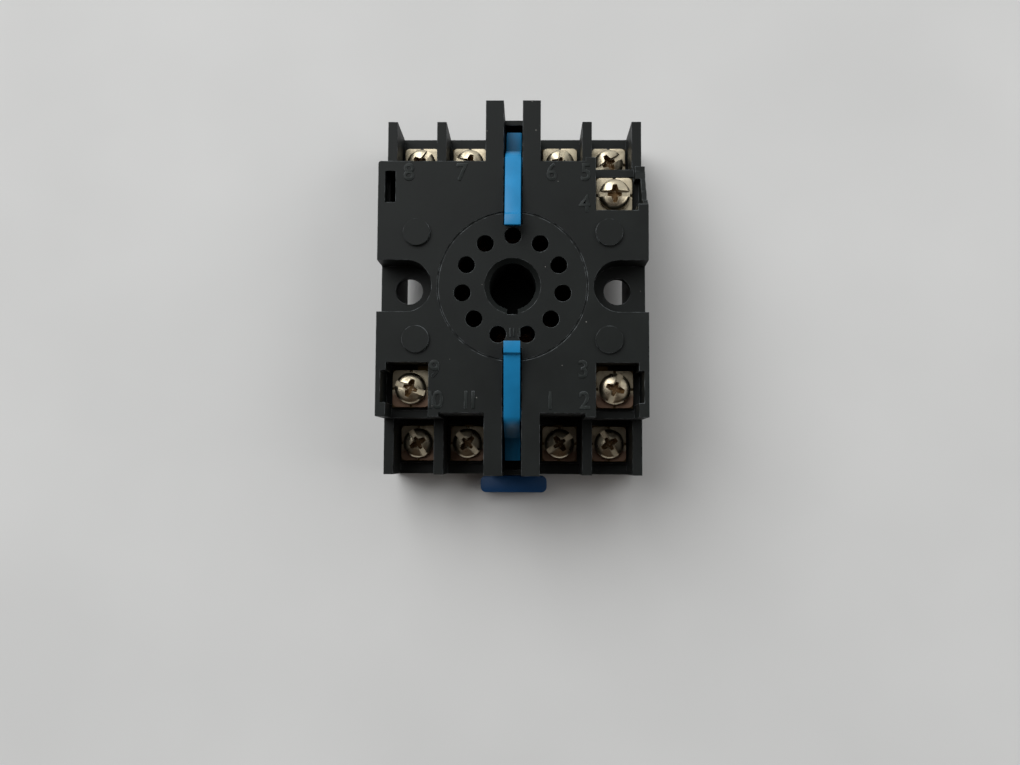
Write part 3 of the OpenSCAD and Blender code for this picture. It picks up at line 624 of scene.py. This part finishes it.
class RELAYSOCKET_OT_levers(bpy.types.Operator):
    """Round and finish the two blue ejector levers"""

    bl_idname = "relay_socket.levers"
    bl_label = "Ejector Levers"

    def execute(self, context):
        blue = moulded_blue("moulded_blue_acetal", context.scene.relay_socket_colours.lever)
        for end in ("top", "bottom"):
            bm = softened("ejector_lever_" + end, context.scene.relay_socket_sizes.lever_round)
            piece = finish_piece(bm, end + "_lever_moulding", end + "_lever", blue)
            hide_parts("ejector_lever_" + end)
        return {"FINISHED"}


class RELAYSOCKET_OT_latch(bpy.types.Operator):
    """Round and finish the rail latch, and finish its spring"""

    bl_idname = "relay_socket.latch"
    bl_label = "Rail Latch"

    def execute(self, context):
        colours = context.scene.relay_socket_colours
        bm = softened("din_latch", context.scene.relay_socket_sizes.lever_round)
        # Darker blue than the levers: partly a deeper blue plastic, partly painted shade for the
        # body's shadow over the latch.
        piece = finish_piece(bm, "latch_moulding", "latch",
                             moulded_blue("dark_blue_acetal_and_shade", colours.latch))
        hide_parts("din_latch")
        # Bright drawn strip: cool grey with tight reflections.
        self.spring(plated_metal("bright_spring_steel", colours.steel[:], colours.tarnish[:],
                                 0.28, 0.3 * MM))
        return {"FINISHED"}

    def spring(self, steel):
        """The folded strip, fixed to the socket body."""
        bm = bmesh.new()
        bm.from_mesh(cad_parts["latch_spring"].data)
        bmesh.ops.remove_doubles(bm, verts=bm.verts, dist=MERGE_DISTANCE)
        piece = finish_piece(bm, "latch_spring_strip", "socket_body", steel)
        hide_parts("latch_spring")
        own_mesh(piece)


class RELAYSOCKET_OT_terminals(bpy.types.Operator):
    """Make the plated terminal screws and clamp plates"""

    bl_idname = "relay_socket.terminals"
    bl_label = "Terminals"

    def execute(self, context):
        sizes = context.scene.relay_socket_sizes
        colours = context.scene.relay_socket_colours
        nickel, tarnish = colours.nickel[:], colours.tarnish[:]
        # Nickel over a turned head: warm white with fairly clear reflections.
        screw_nickel = plated_metal("nickel_plated_screw", nickel, tarnish, 0.27, 0.8 * MM)
        # The same plate over a rolled stamping: satin, so its flats read paler and softer.
        plate_nickel = plated_metal("nickel_plated_stamping", nickel, tarnish, 0.5, 0.5 * MM)
        # Where the plate is worn through, rust spreads from the latch's end as a red-brown stain.
        stained = {}
        for n in STAINED_TERMINALS:
            middle_y, row = self.plate_row(n)
            if row not in stained:
                stained[row] = plated_metal(f"stained_stamping_{-row}_mm_out", nickel, tarnish,
                                            0.5, 0.5 * MM, colours.rust[:], middle_y)
        pattern = bpy.data.meshes.new("screw_pattern")
        bm = terminal_screw(sizes, "terminal_screw_4", "clamp_washer_4")
        bm.to_mesh(pattern)
        bm.free()
        for n in range(1, PINS + 1):
            finish = stained.get(self.plate_row(n)[1], plate_nickel)
            piece = finish_piece(softened(f"clamp_washer_{n}", sizes.plate_round),
                                 f"clamp_plate_{n}", f"clamp_{n}", finish)
            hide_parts(f"clamp_washer_{n}")
            low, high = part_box(f"terminal_screw_{n}")
            centre = (low + high) / 2
            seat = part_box(f"clamp_washer_{n}")[1].z
            screw = bmesh.new()
            screw.from_mesh(pattern)
            turn = Matrix.Rotation(math.radians(SCREW_TURNS[n - 1]), 4, "Z")
            screw.transform(Matrix.Translation((centre.x, centre.y, seat)) @ turn)
            piece = finish_piece(screw, f"binding_screw_{n}", f"screw_{n}",
                                 screw_nickel)
            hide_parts(f"terminal_screw_{n}")
        bpy.data.meshes.remove(pattern)
        return {"FINISHED"}

    def plate_row(self, n):
        """The middle of a clamp plate along the part, and the same in whole millimetres."""
        low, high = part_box(f"clamp_washer_{n}")
        middle_y = (low.y + high.y) / 2
        return middle_y, round(middle_y / MM)


class RELAYSOCKET_OT_inner_metal(bpy.types.Operator):
    """Finish the terminal strips, the contact clips and the assembly screws"""

    bl_idname = "relay_socket.inner_metal"
    bl_label = "Inner Metal"

    def execute(self, context):
        colours = context.scene.relay_socket_colours
        tarnish = colours.tarnish[:]
        # Bare rolled brass, its colour darkened as painted shade for the bays: brown-yellow glints
        # deep in them.
        brass = plated_metal("rolled_brass", colours.brass[:], tarnish, 0.3, 0.5 * MM)
        # Spring bronze: redder than the strips, a faint gleam inside the pin holes.
        bronze = plated_metal("phosphor_bronze_spring", colours.bronze[:], tarnish, 0.26, 0.4 * MM)
        # Clear zinc plate: cool grey and a little dull.
        zinc = plated_metal("zinc_plated_screw", colours.steel[:], tarnish, 0.34, 0.5 * MM)
        for n in range(1, PINS + 1):
            dress(f"terminal_strip_{n}", brass)
            dress(f"contact_clip_{n}", bronze)
        for n in range(1, ASSEMBLY_SCREWS + 1):
            dress(f"assembly_screw_{n}", zinc)
        return {"FINISHED"}


class RELAYSOCKET_OT_stage(bpy.types.Operator):
    """Set the floor, the soft lights and the camera"""

    bl_idname = "relay_socket.stage"
    bl_label = "Stage"

    def execute(self, context):
        self.floor(context)
        self.lights(context)
        self.world(context)
        self.camera(context)
        context.scene.view_settings.view_transform = "Standard"
        return {"FINISHED"}

    def floor(self, context):
        """A wide pale sheet of smooth cloth under the part: matt, and very slightly uneven."""
        reach = 1.5
        material, tree, shader, place = new_material("matt_stage_cloth")
        cloud = add_node(tree, "TexNoise", {"Scale": 1 / (60 * MM), "Detail": 3.0},
                         {"Vector": place})
        tone = add_node(tree, "MapRange", {"From Min": 0.3, "From Max": 0.7,
                                           "To Min": 0.96, "To Max": 1.03},
                        {"Value": cloud.outputs["Fac"]})
        body = add_node(tree, "VectorMath", {"operation": "SCALE",
                                             0: context.scene.relay_socket_colours.floor[:3]},
                        {"Scale": tone.outputs["Result"]})
        tree.links.new(body.outputs["Vector"], shader.inputs["Base Color"])
        shader.inputs["Roughness"].default_value = 0.9
        shader.inputs["Specular IOR Level"].default_value = 0.2
        bm = bmesh.new()
        bmesh.ops.create_grid(bm, x_segments=2, y_segments=2, size=reach)
        bmesh.ops.translate(bm, verts=bm.verts, vec=(0, 0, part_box("base")[0].z))
        mesh = bpy.data.meshes.new("stage_floor")
        bm.to_mesh(mesh)
        bm.free()
        mesh.materials.append(material)
        stage_floor = bpy.data.objects.new("stage_floor", mesh)
        context.scene.collection.objects.link(stage_floor)

    def lights(self, context):
        """A broad key from the upper left and a weak fill from the right."""
        for name, place, size, watts in (("key", (-0.55, 0.6, 0.9), 1.0, 13.0),
                                         ("fill", (0.8, 0.1, 0.7), 0.8, 3.6)):
            lamp = bpy.data.lights.new(name, "AREA")
            lamp.size = size
            lamp.energy = watts
            lamp_object = bpy.data.objects.new(name, lamp)
            aim = Vector(place).to_track_quat("Z", "Y").to_matrix().to_4x4()
            lamp_object.matrix_world = Matrix.Translation(place) @ aim
            context.scene.collection.objects.link(lamp_object)

    def world(self, context):
        """A room that is bright towards its far side and dark and warm towards the near side."""
        world = bpy.data.worlds.new("room")
        context.scene.world = world
        world.use_nodes = True
        tree = world.node_tree
        tree.nodes.clear()
        direction = add_node(tree, "TexCoord", {}).outputs["Generated"]
        far_side = (-0.28, 0.95, 0.12)
        towards = add_node(tree, "VectorMath", {"operation": "DOT_PRODUCT", 1: far_side},
                           {0: direction})
        bright = add_node(tree, "MapRange", {"interpolation_type": "SMOOTHSTEP",
                                             "From Min": -0.06, "From Max": 0.75},
                          {"Value": towards.outputs["Value"]})
        colour = add_node(tree, "Mix", {"data_type": "RGBA", "A": ROOM_NEAR_SIDE,
                                        "B": ROOM_FAR_SIDE},
                          {"Factor": bright.outputs["Result"]})
        room = add_node(tree, "Background", {"Strength": 0.9}, {"Color": colour.outputs["Result"]})
        add_node(tree, "OutputWorld", {}, {"Surface": room.outputs["Background"]})

    def camera(self, context):
        """A moderately wide lens close above the part, tipped a little towards its far end."""
        lens = bpy.data.cameras.new("camera")
        lens.lens = 35.7
        lens.sensor_width = 36
        lens.clip_start = 5 * MM
        camera = bpy.data.objects.new("camera", lens)
        place = (3.40 * MM, -31.67 * MM, 187.48 * MM)
        # The angles turn the part's frame into the lens's, so their matrix is transposed.
        turn = Euler((-0.0720, -0.0200, -0.0041), "XYZ").to_matrix().transposed().to_4x4()
        camera.matrix_world = Matrix.Translation(place) @ turn
        context.scene.collection.objects.link(camera)
        context.scene.camera = camera


class RELAYSOCKET_PT_panel(bpy.types.Panel):
    """Sizes, colours and steps of the relay socket's finishes"""

    bl_idname = "RELAYSOCKET_PT_panel"
    bl_label = "Relay Socket"
    bl_space_type = "VIEW_3D"
    bl_region_type = "UI"
    bl_category = "Relay Socket"

    def draw(self, context):
        column = self.layout.column()
        for group in (context.scene.relay_socket_sizes, context.scene.relay_socket_colours):
            for name in group.__annotations__:
                column.prop(group, name)
        for step in STEPS:
            column.operator(step.bl_idname)


STEPS = (RELAYSOCKET_OT_stage, RELAYSOCKET_OT_housing, RELAYSOCKET_OT_numerals,
         RELAYSOCKET_OT_levers, RELAYSOCKET_OT_latch, RELAYSOCKET_OT_terminals,
         RELAYSOCKET_OT_inner_metal)
CLASSES = (RelaySocketSizes, RelaySocketColours) + STEPS + (RELAYSOCKET_PT_panel,)


def register():
    for cls in CLASSES:
        bpy.utils.register_class(cls)
    bpy.types.Scene.relay_socket_sizes = bpy.props.PointerProperty(type=RelaySocketSizes)
    bpy.types.Scene.relay_socket_colours = bpy.props.PointerProperty(type=RelaySocketColours)


def unregister():
    del bpy.types.Scene.relay_socket_colours
    del bpy.types.Scene.relay_socket_sizes
    for cls in reversed(CLASSES):
        bpy.utils.unregister_class(cls)


def main():
    register()
    bpy.ops.relay_socket.stage()
    bpy.ops.relay_socket.housing()
    bpy.ops.relay_socket.numerals()
    bpy.ops.relay_socket.levers()
    bpy.ops.relay_socket.latch()
    bpy.ops.relay_socket.terminals()
    bpy.ops.relay_socket.inner_metal()


if __name__ == "__main__":
    main()
